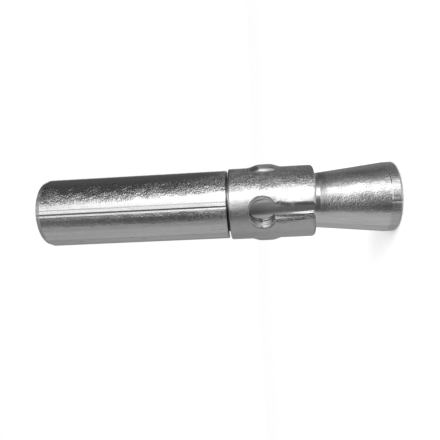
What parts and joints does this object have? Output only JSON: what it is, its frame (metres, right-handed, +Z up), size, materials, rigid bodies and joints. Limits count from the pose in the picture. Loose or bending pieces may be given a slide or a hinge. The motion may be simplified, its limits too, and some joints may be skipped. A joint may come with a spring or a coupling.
{
  "type": "internally threaded expansion anchor",
  "caption": "Steel anchor with a blind threaded mouth, a plain shank, a necked cone end and a sprung keyhole clip that spreads on the cone to grip a drilled hole.",
  "frame": {"origin": "centre of the flat cone end, on the axis", "axes": "+Z up along the axis, from the cone end to the threaded mouth; -Y towards the first keyhole of the clip, +Y towards its seam"},
  "size_m": [0.0174, 0.016, 0.0781],
  "materials": {
    "body_steel": "bright zinc plate over drawn and turned steel",
    "clip_steel": "satin zinc plate over pressed sheet steel"
  },
  "bodies": {
    "anchor": {"anchor_body": "body_steel"},
    "clip": {"expansion_clip": "clip_steel"}
  },
  "joints": [
    {"name": "clip_turn", "type": "hinge", "parent": "anchor", "child": "clip", "pos_m": [0, 0, 0.0265], "axis": [0, 0, 1], "continuous": true}
  ]
}
